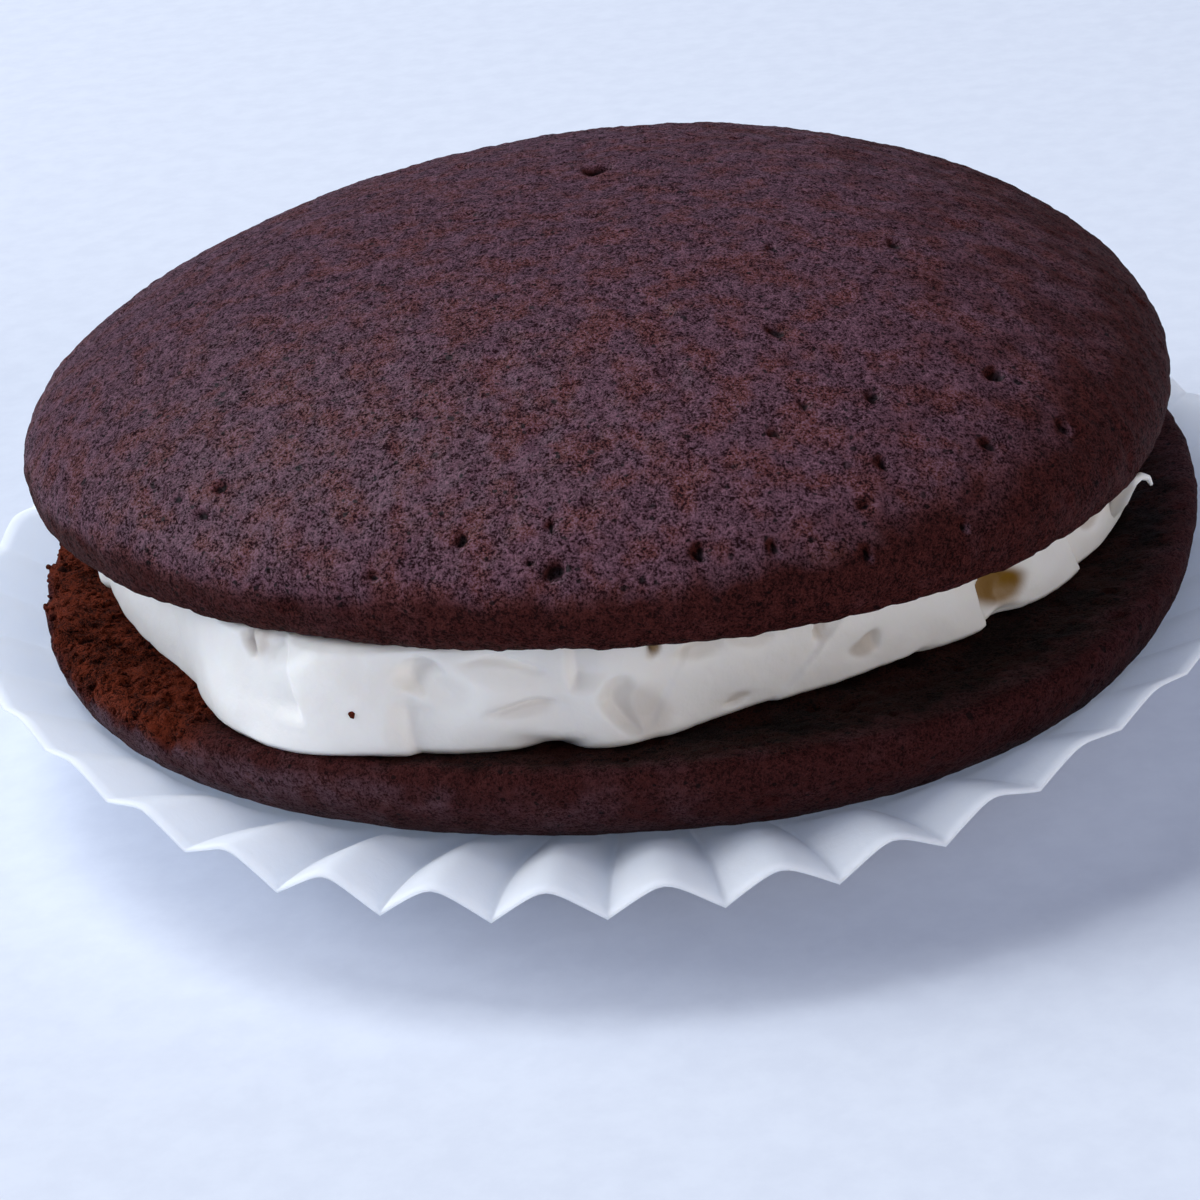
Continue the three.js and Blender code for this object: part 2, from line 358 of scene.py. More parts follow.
class Nodes:
    """Adds nodes to one tree and links them."""

    def __init__(self, tree):
        self.tree = tree

    def add(self, kind, settings=None, sockets=None, output=0):
        node = self.tree.nodes.new(kind)
        for name, setting in (settings or {}).items():
            setattr(node, name, setting)
        for key, value in (sockets or {}).items():
            self.feed(node.inputs[key], value)
        return Value(self, node.outputs[output]) if len(node.outputs) else None

    def feed(self, socket, value):
        if isinstance(value, Value):
            self.tree.links.new(value.socket, socket)
        else:
            socket.default_value = value

    def math(self, operation, *values):
        return self.add("ShaderNodeMath", {"operation": operation}, dict(enumerate(values)))

    def step(self, value, low, high, start=0.0, end=1.0):
        """Goes smoothly from start to end as value goes from low to high."""
        sockets = {"Value": value, "From Min": low, "From Max": high, "To Min": start, "To Max": end}
        return self.add("ShaderNodeMapRange", {"interpolation_type": "SMOOTHSTEP"}, sockets)

    def noise(self, place, size, detail=2.0, roughness=0.5, stretch=0.0):
        """Soft noise from 0 to 1 whose lumps are about a size across, in metres."""
        sockets = {"Vector": place, "Scale": 1 / size, "Detail": detail}
        sockets |= {"Roughness": roughness, "Distortion": stretch}
        return self.add("ShaderNodeTexNoise", None, sockets)

    def cells(self, place, size):
        """Scattered cells about a size across, in metres: how far off the nearest one's middle is, and its
        colour."""
        far = self.add("ShaderNodeTexVoronoi", None, {"Vector": place, "Scale": 1 / size}, "Distance")
        return far, Value(self, far.socket.node.outputs["Color"])

    def warp(self, place, size, by):
        """A place pushed about by noise, so that round cells come out ragged. Sizes in metres."""
        sockets = {0: place, 1: self.push(place, size, by)}
        return self.add("ShaderNodeVectorMath", {"operation": "ADD"}, sockets)

    def push(self, place, size, by):
        """A small noisy vector either way, up to about half of by."""
        sockets = {"Vector": place, "Scale": 1 / size, "Detail": 1.0}
        loose = self.add("ShaderNodeTexNoise", None, sockets, "Color")
        even = self.add("ShaderNodeVectorMath", {"operation": "SUBTRACT"}, {0: loose, 1: (0.5, 0.5, 0.5)})
        return self.add("ShaderNodeVectorMath", {"operation": "SCALE"}, {"Vector": even, "Scale": by})

    def split(self, vector, axis):
        return self.add("ShaderNodeSeparateXYZ", None, {"Vector": vector}, axis)

    def blend(self, share, colour_a, colour_b):
        """Mixes two colours."""
        return self.add("ShaderNodeMix", {"data_type": "RGBA"}, {0: share, 6: colour_a, 7: colour_b}, 2)


def pores(nodes, place, gap):
    """Scattered round pores of all sizes, about a gap apart, in metres: 1 inside one and 0 on the skin."""
    far, colour = nodes.cells(place, gap)
    reach = nodes.step(nodes.split(colour, 0), 0.3, 1.0, 0.0, 0.3)
    return nodes.step(reach - far, 0.0, 0.12)


def rgb(red, green, blue):
    return (red, green, blue, 1.0)


def new_material(name):
    """An empty material with its shader, and the tool that adds nodes to it."""
    material = bpy.data.materials.new(name)
    material.use_nodes = True
    material.node_tree.nodes.clear()
    nodes = Nodes(material.node_tree)
    shader = material.node_tree.nodes.new("ShaderNodeBsdfPrincipled")
    nodes.add("ShaderNodeOutputMaterial", None, {"Surface": Value(nodes, shader.outputs[0])})
    return material, nodes, shader


def finish_shader(nodes, shader, colour, roughness, bump, **constants):
    """Links what varies to the shader, and sets what doesn't on its own sockets."""
    nodes.feed(shader.inputs["Base Color"], colour)
    nodes.feed(shader.inputs["Roughness"], roughness)
    nodes.feed(shader.inputs["Normal"], bump)
    for name, constant in constants.items():
        shader.inputs[name.replace("_", " ")].default_value = constant


def object_place(nodes):
    return nodes.add("ShaderNodeTexCoord", None, None, "Object")


def attribute(nodes, name):
    return nodes.add("ShaderNodeAttribute", {"attribute_name": name}, None, "Fac")


def clouded(nodes, cloud, colours):
    """Goes between two close colours with a noise."""
    low, high = colours
    return nodes.blend(nodes.step(cloud, 0.3, 0.7), rgb(*low), rgb(*high))


def bump_from(nodes, height, distance, strength):
    return nodes.add("ShaderNodeBump", None, {"Height": height, "Distance": distance, "Strength": strength})


def crust_material(name, colours):
    """Baked chocolate crust: a finely grained skin full of tiny pores, painted dark as the shade in them,
    with painted shade in the valleys of its grain and painted glints of light on its highest grains. Where
    it faces the main light it is painted lighter and greyer, a dry crust with a painted sheen that goes
    rusty in places, and elsewhere, as at its edges, it keeps its moist dark colour. Warm crumb shows where
    it is torn, and rough damp crumb where the cream was spread, both painted darker in their low places as
    shade."""
    material, nodes, shader = new_material(name)
    tone = {word: rgb(*colour) for word, colour in colours.items()}
    place = object_place(nodes)
    ragged = nodes.warp(place, RAGGED_SIZE, RAGGED_PUSH)
    patch = nodes.step(nodes.noise(place, PATCH_SIZE, 2.0, 0.55), 0.35, 0.65)
    stain = nodes.step(nodes.noise(place, STAIN_SIZE, 2.0, 0.6), 0.42, 0.66)
    lump = nodes.noise(place, LUMP_SIZE, 2.0, 0.5)
    dot = nodes.cells(ragged, DOT_SIZE)[0] - 0.3
    grain = nodes.noise(place, GRAIN_SIZE, 2.0, 0.7) * 0.9 + dot * 0.2
    rough_height = grain * 0.9 + lump * 0.14
    crest = nodes.step(rough_height, 0.40, 0.52)
    wide_pore = pores(nodes, ragged, WIDE_PORE_GAP) * nodes.step(patch, 0.2, 0.9)
    pore = nodes.math("MAXIMUM", pores(nodes, ragged, PORE_GAP), wide_pore)
    pit = nodes.step(attribute(nodes, "pit") + (grain - 0.5) * 0.6, 0.62, 0.85)
    torn = attribute(nodes, "torn")
    # Painted sheen: the crust is lighter and greyer where it faces the main light, a dry crust that catches
    # the light; its moist dark colour stays elsewhere.
    dryness_and_sheen = nodes.step(attribute(nodes, "dryness_and_sheen") + (patch - 0.5) * 0.4, 0.02, 0.95)
    dusty = nodes.blend(patch * 0.3, tone["dry"], tone["moist"])
    skin = nodes.blend(dryness_and_sheen, tone["moist"], nodes.blend(stain * 0.9, dusty, tone["rust"]))
    # Painted shade: the low places of the grain are darker for the shade in them.
    crevice_shade = nodes.blend(dryness_and_sheen, tone["deep"], tone["dark"])
    # Painted highlight: the highest grains are paler, as glints of light on them, most where the crust has
    # its painted sheen.
    painted_glint = nodes.step(rough_height, 0.53, 0.63) * (dryness_and_sheen * 0.5 + 0.5)
    light = nodes.blend(dryness_and_sheen, tone["rust"], tone["pale"])
    cake = nodes.blend(painted_glint * 0.8, nodes.blend(crest, crevice_shade, skin), light)
    # Painted light and shade: the torn crumb is lighter on its lumps and crests and darker in its low
    # places.
    crumb_light = nodes.step(patch * 0.25 + lump * 0.4 + crest * 0.35, 0.25, 0.8)
    crumb = nodes.blend(crumb_light, rgb(*CRUMB_PAINTED_SHADE), tone["warm"])
    cake = nodes.blend(torn, cake, crumb)
    # Painted shade: the damp crumb of the ledge is darker in its low places.
    damp_light = nodes.step(patch * 0.5 + crest * 0.5, 0.3, 0.9)
    damp = nodes.blend(damp_light, rgb(*DAMP_PAINTED_SHADE), tone["rough"])
    cake = nodes.blend(attribute(nodes, "ledge"), cake, damp)
    # Painted shade: pores, pits and the torn crumb's hollows are darkened for the shade inside them.
    painted_hole_shade = nodes.math("MAXIMUM", pore * (1 - torn * 0.6), pit)
    colour = nodes.blend(painted_hole_shade * 0.85, cake, rgb(*HOLE_PAINTED_SHADE))
    roughness = 0.6 + 0.18 * (1 - crest) + 0.15 * torn
    bump = bump_from(nodes, grain * 1.6 + lump * 2.2 - pit * 0.8, CRUST_BUMP, 1.0)
    nodes.feed(shader.inputs["Coat Weight"], dryness_and_sheen * crest * 0.22)
    finish_shader(nodes, shader, colour, roughness, bump, Specular_IOR_Level=0.05, Coat_Roughness=0.5)
    return material


def cream_material():
    """Whipped cream: satin white, with a warm amber shade painted in its pockets and dents."""
    material, nodes, shader = new_material("whipped cream")
    place = object_place(nodes)
    pocket_shade = attribute(nodes, "pocket_shade")
    cloud = nodes.noise(place, 0.006, 2.0, 0.5)
    fine = nodes.noise(place, 0.0012, 3.0, 0.6)
    white = clouded(nodes, cloud, CREAM_COLOURS)
    colour = nodes.blend(pocket_shade, white, rgb(*POCKET_SHADE_COLOUR))
    bump = bump_from(nodes, fine * 0.5 + cloud, 0.0003, 0.5)
    finish_shader(
        nodes, shader, colour, 0.42 + 0.12 * fine, bump,
        Subsurface_Weight=0.25, Subsurface_Radius=(0.9, 0.7, 0.45), Subsurface_Scale=0.0012,
    )
    return material


def paper_material():
    """White baking paper with a faint fibrous tooth."""
    material, nodes, shader = new_material("baking paper")
    place = object_place(nodes)
    fibre = nodes.noise(place, 0.0011, 4.0, 0.7, 0.6)
    cloud = nodes.noise(place, 0.012, 2.0, 0.5)
    colour = clouded(nodes, cloud, PAPER_COLOURS)
    bump = bump_from(nodes, fibre, 0.00012, 0.3)
    finish_shader(
        nodes, shader, colour, 0.62 + 0.15 * fibre, bump,
        Subsurface_Weight=1.0, Subsurface_Radius=(0.85, 0.95, 1.1), Subsurface_Scale=0.003,
        Specular_IOR_Level=0.3,
    )
    return material


def floor_material():
    """A pale table with a faint tooth."""
    material, nodes, shader = new_material("pale table")
    place = object_place(nodes)
    tooth = nodes.noise(place, 0.004, 4.0, 0.65)
    colour = clouded(nodes, tooth, TABLE_COLOURS)
    finish_shader(nodes, shader, colour, 0.7 + 0.1 * tooth, bump_from(nodes, tooth, 0.0001, 0.2))
    return material


def swell(lobes, bearing):
    """How far a hand-spooned outline stands out at a bearing in radians. Each row of lobes is how many, by
    how much, and the bearing in degrees of the first."""
    return sum(by * np.cos(count * (bearing - math.radians(at))) for count, by, at in lobes)


def bumps(rows, bearing):
    """Sum of smooth bumps round the outline: each with its bearing, its reach and its half width in
    degrees."""
    total = np.zeros_like(bearing)
    for at, out, wide in rows:
        total += out * np.exp(-0.5 * (from_bearing(bearing, at) / math.radians(wide)) ** 2)
    return total


def from_bearing(bearing, at):
    """The plan angle in radians from a bearing in degrees, between minus half a turn and half a turn."""
    return (bearing - math.radians(at) + math.pi) % (2 * math.pi) - math.pi


def smooth(low, high, value):
    """Goes smoothly from 0 to 1 as value goes from low to high."""
    share = np.clip((value - low) / (high - low), 0, 1)
    return share * share * (3 - 2 * share)


def dome(share, height, flatness, fullness):
    """The height of a dome at a share of its radius."""
    return height * np.maximum(0, 1 - share**flatness) ** (1 / fullness)


def even_steps(profile, step):
    """Points along a profile of radius and height, about a step apart."""
    profile = np.asarray(profile, float)
    run = np.concatenate([[0], np.cumsum(np.hypot(*np.diff(profile, axis=0).T))])
    marks = np.linspace(0, run[-1], round(run[-1] / step) + 1)
    return [(np.interp(m, run, profile[:, 0]), np.interp(m, run, profile[:, 1])) for m in marks]


def stitch(first, count_a, second, count_b):
    """Faces between two rings of points that both start at the front. A ring of one point is a pole."""
    if count_a == count_b:
        steps = [(i, (i + 1) % count_a) for i in range(count_a)]
        return [(first + i, second + i, second + after, first + after) for i, after in steps]
    faces = []
    i = j = 0
    while i < (count_a if count_a > 1 else 0) or j < (count_b if count_b > 1 else 0):
        move_a = count_b == 1 or (count_a > 1 and (i + 1) * count_b <= (j + 1) * count_a and i < count_a)
        a, b = first + i % count_a, second + j % count_b
        if move_a or (j >= count_b and count_a > 1):
            faces.append((a, b, first + (i + 1) % count_a))
            i += 1
        else:
            faces.append((a, b, second + (j + 1) % count_b))
            j += 1
    return faces


def stacked_faces(start, rings, count):
    """Faces of a stack of equal rings with a pole at each end, from the number of its first point."""
    ring_starts = [start + 1 + i * count for i in range(rings)]
    faces = stitch(start, 1, ring_starts[0], count)
    for above, below in zip(ring_starts, ring_starts[1:]):
        faces += stitch(above, count, below, count)
    return faces + stitch(ring_starts[-1], count, ring_starts[-1] + count, 1)


def turned_skin(name, rows, place):
    """A closed skin turned round Z, from its top pole to its bottom one. Each row is a radius, a height and
    a point spacing in millimetres, and place(bearing, radius, height) gives the points' x, y and z."""
    points, faces = [], []
    last_start = last_count = None
    start = 0
    for radius, height, spacing in rows:
        count = 1 if radius < spacing / 2 else 6 * max(1, round(radius / spacing))
        bearing = np.arange(count) * (2 * math.pi / count)
        points.append(np.stack(place(bearing, np.full(count, radius), np.full(count, height)), axis=1))
        if last_count is not None:
            faces += stitch(last_start, last_count, start, count)
        last_start, last_count = start, count
        start += count
    return mesh_piece(name, np.concatenate(points) * MM, faces)


def mesh_piece(name, points, faces):
    mesh = bpy.data.meshes.new(name)
    mesh.from_pydata(points.tolist(), [], faces)
    mesh.shade_smooth()
    piece = bpy.data.objects.new(name, mesh)
    bpy.context.scene.collection.objects.link(piece)
    return piece


def read_points(mesh, what="co"):
    """A mesh's points, or its normals, as rows of x, y and z."""
    values = np.zeros(len(mesh.vertices) * 3)
    mesh.vertices.foreach_get(what, values)
    return values.reshape(-1, 3)


def write_points(mesh, points):
    mesh.vertices.foreach_set("co", points.ravel())
    mesh.update()


def write_attribute(mesh, name, values):
    layer = mesh.attributes.new(name, "FLOAT", "POINT")
    layer.data.foreach_set("value", values.astype(np.float32))


def new_geometry_tree(name, inputs):
    """An empty geometry tree with named inputs, each with its value."""
    tree = bpy.data.node_groups.new(name, "GeometryNodeTree")
    tree.interface.new_socket("Geometry", in_out="INPUT", socket_type="NodeSocketGeometry")
    tree.interface.new_socket("Geometry", in_out="OUTPUT", socket_type="NodeSocketGeometry")
    for label, value in inputs.items():
        kind = "NodeSocketInt" if isinstance(value, int) else "NodeSocketFloat"
        tree.interface.new_socket(label, in_out="INPUT", socket_type=kind).default_value = value
    nodes = Nodes(tree)
    group = tree.nodes.new("NodeGroupInput")
    values = {socket.name: Value(nodes, socket) for socket in group.outputs if socket.name}
    return tree, nodes, values


def end_tree(nodes, geometry, material):
    """Every tree ends in real geometry with its material."""
    real = nodes.add("GeometryNodeRealizeInstances", None, {"Geometry": geometry})
    dressed = nodes.add("GeometryNodeSetMaterial", None, {"Geometry": real, "Material": material})
    nodes.add("NodeGroupOutput", None, {"Geometry": dressed})


def add_tree(piece, tree, **inputs):
    """Puts a geometry tree on a piece, with its inputs set by their identifiers."""
    modifier = piece.modifiers.new(tree.name, "NODES")
    modifier.node_group = tree
    known = {item.name: item.identifier for item in tree.interface.items_tree if item.in_out == "INPUT"}
    for name, value in inputs.items():
        modifier[known[name.replace("_", " ")]] = value


def make_plain(piece):
    """Turns a piece and its modifiers into one plain mesh."""
    mesh = bpy.data.meshes.new_from_object(piece.evaluated_get(bpy.context.evaluated_depsgraph_get()))
    piece.modifiers.clear()
    old = piece.data
    piece.data = mesh
    bpy.data.meshes.remove(old)
    mesh.name = piece.name
    mesh.shade_smooth()
    return piece


def field(nodes, name):
    """A float attribute of the mesh that a geometry tree works on."""
    return nodes.add("GeometryNodeInputNamedAttribute", {"data_type": "FLOAT"}, {"Name": name})


def relief_tree(material):
    """Relief of a baked or spread surface: slow rolls, small lumps, pores, and crags where the skin is
    torn."""
    sizes = {
        "Roll Height": 0.0003,
        "Roll Size": 0.012,
        "Lump Height": 0.0001,
        "Lump Size": 0.0022,
        "Pore Depth": 0.0,
        "Pore Gap": 0.004,
        "Crag Height": 0.0,
        "Crag Size": 0.002,
        "Seed": 1,
    }
    tree, nodes, given = new_geometry_tree("surface relief", sizes)
    where = nodes.add("GeometryNodeInputPosition")
    shift = nodes.add("ShaderNodeCombineXYZ", None, {"X": given["Seed"] * 0.37, "Y": given["Seed"] * 0.11})
    place = nodes.add("ShaderNodeVectorMath", {"operation": "ADD"}, {0: where, 1: shift})

    def lumps(size, detail):
        sockets = {"Vector": place, "Scale": 1 / given[size], "Detail": detail, "Roughness": 0.55}
        return nodes.add("ShaderNodeTexNoise", None, sockets) - 0.5

    torn = nodes.math("MAXIMUM", field(nodes, "torn"), field(nodes, "ledge") * 0.55)
    skin = 1 - torn
    ragged = nodes.warp(place, 0.0016, 0.0016)
    pore = pores(nodes, ragged, given["Pore Gap"])
    cave = pores(nodes, ragged, given["Crag Size"])
    rise = lumps("Roll Size", 1.0) * given["Roll Height"] * 2
    rise = rise + skin * (lumps("Lump Size", 2.0) * given["Lump Height"] * 2 - pore * given["Pore Depth"])
    pebble = 0.5 - nodes.cells(ragged, given["Crag Size"] * 0.5)[0]
    rise = rise + torn * given["Crag Height"] * (lumps("Crag Size", 2.0) * 2.2 + pebble * 0.9 - cave)
    normal = nodes.add("GeometryNodeInputNormal")
    push = nodes.add("ShaderNodeVectorMath", {"operation": "SCALE"}, {"Vector": normal, "Scale": rise})
    moved = nodes.add("GeometryNodeSetPosition", None, {"Geometry": given["Geometry"], "Offset": push})
    # Painted shade: the torn crumb's hollows are marked with the pits, to be darkened for the shade in
    # them.
    hollow = nodes.math("MAXIMUM", cave, nodes.step(pebble, 0.12, -0.08) * 0.6) * torn
    dark = nodes.math("MAXIMUM", field(nodes, "pit"), hollow)
    kept = nodes.add(
        "GeometryNodeStoreNamedAttribute",
        {"data_type": "FLOAT", "domain": "POINT"},
        {"Geometry": moved, "Name": "pit", "Value": dark},
    )
    end_tree(nodes, kept, material)
    return tree


def top_cake(relief):
    """The upper cake: a broad dome with a rounded edge, its crust pitted where bubbles broke."""
    spacing = 0.36
    share = np.sin(np.linspace(0, math.pi / 2, 240))
    crown = TOP_EDGE_HEIGHT + dome(share, *TOP_SHOULDER) + dome(share, *TOP_CAP)
    turn = np.linspace(math.pi / 2, 0, 40)[1:]
    edge_r = TOP_RADIUS - TOP_UNDERCUT * (1 - np.sin(turn))
    edge_z = TOP_EDGE_HEIGHT * (1 - np.cos(turn))
    profile = [*zip(share * TOP_RADIUS, crown), *zip(edge_r, edge_z)]
    rows = [(radius, height, spacing) for radius, height in even_steps(profile, spacing)]
    flat_underside = [(44, 0, 0.8), (40, 0, 2), (25, 0, 4), (0, 0, 4)]
    rows += flat_underside

    def place(bearing, radius, height):
        reach = radius * (1 + swell(TOP_LOBES, bearing) / TOP_RADIUS)
        return reach * np.sin(bearing) + TOP_SHIFT_X, -reach * np.cos(bearing), height + TOP_Z

    piece = turned_skin("top_cake_crust", rows, place)
    sink_pits(piece.data, TOP_PITS)
    mark_dryness_and_sheen(piece.data, TOP_DRYNESS_AND_SHEEN)
    add_tree(
        piece, relief, Roll_Height=0.00025, Roll_Size=0.011, Lump_Height=0.0003, Lump_Size=0.0017,
        Pore_Depth=0.0003, Pore_Gap=0.005, Seed=3,
    )
    return make_plain(piece)


def sink_pits(mesh, pits):
    """Presses pits into the upper side of a skin, and marks how deep each point lies in one, which is where
    the pits are painted dark as the shade in them.
    """
    points = read_points(mesh)
    normals = read_points(mesh, "normal")
    upper = normals[:, 2] > 0
    depth = np.zeros(len(points))
    dark = np.zeros(len(points))
    for number, (x, y, half) in enumerate(pits):
        gap = np.hypot(points[:, 0] / MM - x, points[:, 1] / MM - y)
        gap[~upper] = np.inf
        centre = points[np.argmin(gap)]
        away = (points - centre) / MM
        angle = np.arctan2(away[:, 1], away[:, 0])
        ragged = 1 + 0.22 * np.sin(2 * angle + number) + 0.14 * np.sin(3 * angle + 2.3 * number)
        share = np.linalg.norm(away, axis=1) / (half * ragged)
        depth = np.maximum(depth, (1 - smooth(0.45, 1.15, share)) * min(1.0, 0.55 + 0.35 * half))
        dark = np.maximum(dark, np.clip(1.5 - share, 0, 1))
    points -= normals * (depth * PIT_DEPTH * MM)[:, None]
    write_points(mesh, points)
    write_attribute(mesh, "pit", dark)


def mark_dryness_and_sheen(mesh, facing, rim=None):
    """Marks how dry the crust is and how much sheen of light is painted on it: most where it faces a given
    way, towards the main light, by so much at most, and a little painted highlight along the top of a rim
    at a height in metres."""
    x, y, z, most, least = facing
    normals = read_points(mesh, "normal")
    dryness_and_sheen = most * smooth(least, FULL_DRYNESS_AND_SHEEN, normals @ np.array((x, y, z)))
    if rim is not None:
        # Painted highlight: a lighter line along the top of the rim, where its rounded lip catches the
        # light.
        above = (read_points(mesh)[:, 2] - rim) / MM
        upward = smooth(0.3, 0.6, normals[:, 2]) * smooth(-0.5, -0.2, above)
        dryness_and_sheen = np.maximum(dryness_and_sheen, RIM_PAINTED_HIGHLIGHT * upward)
    write_attribute(mesh, "dryness_and_sheen", dryness_and_sheen)


def bottom_cake(relief):
    """The lower cake, dome down: a dished face, a rounded lip and a belly, with a torn place on its rim."""
    fine = 0.42
    share = np.sin(np.linspace(0, math.pi / 2, 200))
    belly = RIM_Z - BOTTOM_LIP - dome(share, RIM_Z - CROWN_Z - BOTTOM_LIP, *BOTTOM_BELLY)
    turn = np.linspace(math.pi / 2, 0, 20)
    lip_r = BOTTOM_RADIUS - BOTTOM_LIP * (1 - np.cos(turn))
    lip_z = RIM_Z - BOTTOM_LIP * (1 - np.sin(turn))
    dish = np.linspace(BOTTOM_SHOWN_FROM, BOTTOM_RADIUS - BOTTOM_LIP, 40)[:-1]
    dish_z = FACE_Z + dish_rise(dish / BOTTOM_RADIUS)
    side = share * BOTTOM_RADIUS > BOTTOM_SHOWN_FROM
    side_r = share[side][::-1] * BOTTOM_RADIUS
    shown = [*zip(dish, dish_z), *zip(lip_r, lip_z), *zip(side_r, belly[side][::-1])]
    under_r = (34, 29, 23, 16, 8, 0)
    under_z = np.interp(np.array(under_r) / BOTTOM_RADIUS, share, belly)
    rows = [(0, FACE_Z, 4), (14, FACE_Z, 4), (28, FACE_Z, 3), (34, FACE_Z, 1.6), (37, FACE_Z, 0.8)]
    rows += [(radius, height, fine) for radius, height in even_steps(shown, fine)]
    rows += [(radius, height, 1.6) for radius, height in zip(under_r, under_z)]

    def place(bearing, radius, height):
        grown = swell(BOTTOM_LOBES, bearing) * smooth(0.3, 1, radius / BOTTOM_RADIUS) / BOTTOM_RADIUS
        reach = radius * (1 + grown)
        return reach * np.sin(bearing) + BOTTOM_SHIFT_X, -reach * np.cos(bearing), height

    piece = turned_skin("bottom_cake_crust", rows, place)
    mark_torn(piece.data)
    sink_pits(piece.data, TORN_HOLES)
    mark_dryness_and_sheen(piece.data, BOTTOM_DRYNESS_AND_SHEEN, RIM_Z * MM)
    add_tree(
        piece, relief, Roll_Height=0.0002, Roll_Size=0.01, Lump_Height=0.00018, Lump_Size=0.002,
        Pore_Depth=0.0003, Pore_Gap=0.0042, Crag_Height=0.0006, Crag_Size=0.0028, Seed=8,
    )
    return make_plain(piece)


def dish_rise(share):
    """How far the bottom cake's dished face has climbed towards its rim at a share of its radius."""
    return (RIM_Z - FACE_Z) * np.clip((share - DISH_START) / DISH_RUN, 0, 1)


def mark_torn(mesh):
    """Marks where the crust was torn off the rim, and the rough ledge where the cream was spread. The torn
    edge is ragged."""
    points = read_points(mesh) / MM
    normals = read_points(mesh, "normal")
    bearing = np.degrees(np.arctan2(points[:, 0], -points[:, 1]))
    radius = np.hypot(points[:, 0], points[:, 1])
    off = np.abs((bearing - TORN_AT + 180) % 360 - 180)
    along = 1 - smooth(TORN_HALF * 0.8, TORN_HALF, off)
    wander = 0.5 * np.sin(bearing * 0.9) + 0.4 * np.sin(bearing * 2.3 + 1)
    high = smooth(-1.9, -1.1, points[:, 2] - RIM_Z + wander * 0.7)
    torn = along * high * smooth(-0.7, 0.1, normals[:, 2])
    ledge = (1 - smooth(46.9, 48.9, radius + wander)) * smooth(0.5, 0.9, normals[:, 2]) * (1 - torn)
    turn = np.radians(bearing)
    notch = np.tanh(3 * np.sin(turn * 47 + 0.8)) + 0.7 * np.tanh(3 * np.sin(turn * 83))
    inwards = torn * smooth(47, 49.5, radius) * (0.5 + 0.3 * notch)
    points[:, :2] *= (1 - inwards / np.maximum(radius, 1))[:, None]
    write_points(mesh, points * MM)
    write_attribute(mesh, "torn", torn)
    write_attribute(mesh, "ledge", ledge)


def cream_radius(bearing, level):
    """The cream wall's radius before its dents."""
    bulge = CREAM_BULGE * np.sin(math.pi * level) - CREAM_LEAN * level**2
    slant = bearing + math.radians(CREAM_SLANT) * (level - 0.5)
    crease = bumps(CREAM_CREASES, slant) * np.sin(math.pi * level)
    return CREAM_RADIUS + bulge + bumps(CREAM_SWELLS, bearing) + crease


def cream_rise(bearing, reach):
    """How far the dished cake under the cream lifts its foot."""
    return dish_rise(reach / (BOTTOM_RADIUS + swell(BOTTOM_LOBES, bearing)))


def cream_marks(bearing, level, reach):
    """How deep the cream's dents and folds are at one level, in millimetres, and how much warm amber shade
    is painted there.
    """
    sink = np.zeros_like(bearing)
    pocket_shade = np.zeros_like(bearing)
    tall = CREAM_HIGH - CREAM_LOW
    for at, middle, half, half_height, depth, shade_tint, rim in CREAM_DENTS:
        along = from_bearing(bearing, at) * reach / half
        up = (level - middle) * tall / half_height
        along, up = along + 0.22 * np.sin(2.3 * up + at), up + 0.2 * np.sin(1.9 * along + 2 * at)
        gap = np.hypot(along, up)
        shape = np.exp(-1.2 * gap**2)
        inside = 1 - smooth(0.6, 1.2, gap)
        if rim is not None:
            lean = math.radians(rim)
            towards_rim = along * math.cos(lean) + up * math.sin(lean)
            shape = np.maximum(0.45 * shape, inside * smooth(-0.5, 0.85, towards_rim))
        sink = np.maximum(sink, depth * shape)
        # Painted shade: the dent's hollow gets a warm amber colour for the shade in it.
        pocket_shade = np.maximum(pocket_shade, shade_tint * (1 - smooth(0.55, 1.1, gap)))
    for at, slant, drop, run, start, end in CREAM_FOLDS:
        past = from_bearing(bearing, at + slant * (level - 0.5)) * reach * np.sign(run)
        ends = smooth(start, start + 0.2, level) * (1 - smooth(end - 0.2, end, level))
        sink = sink + drop * ends * smooth(-0.45, 0.5, past) * np.exp(-np.maximum(past, 0) / abs(run))
    return sink, pocket_shade


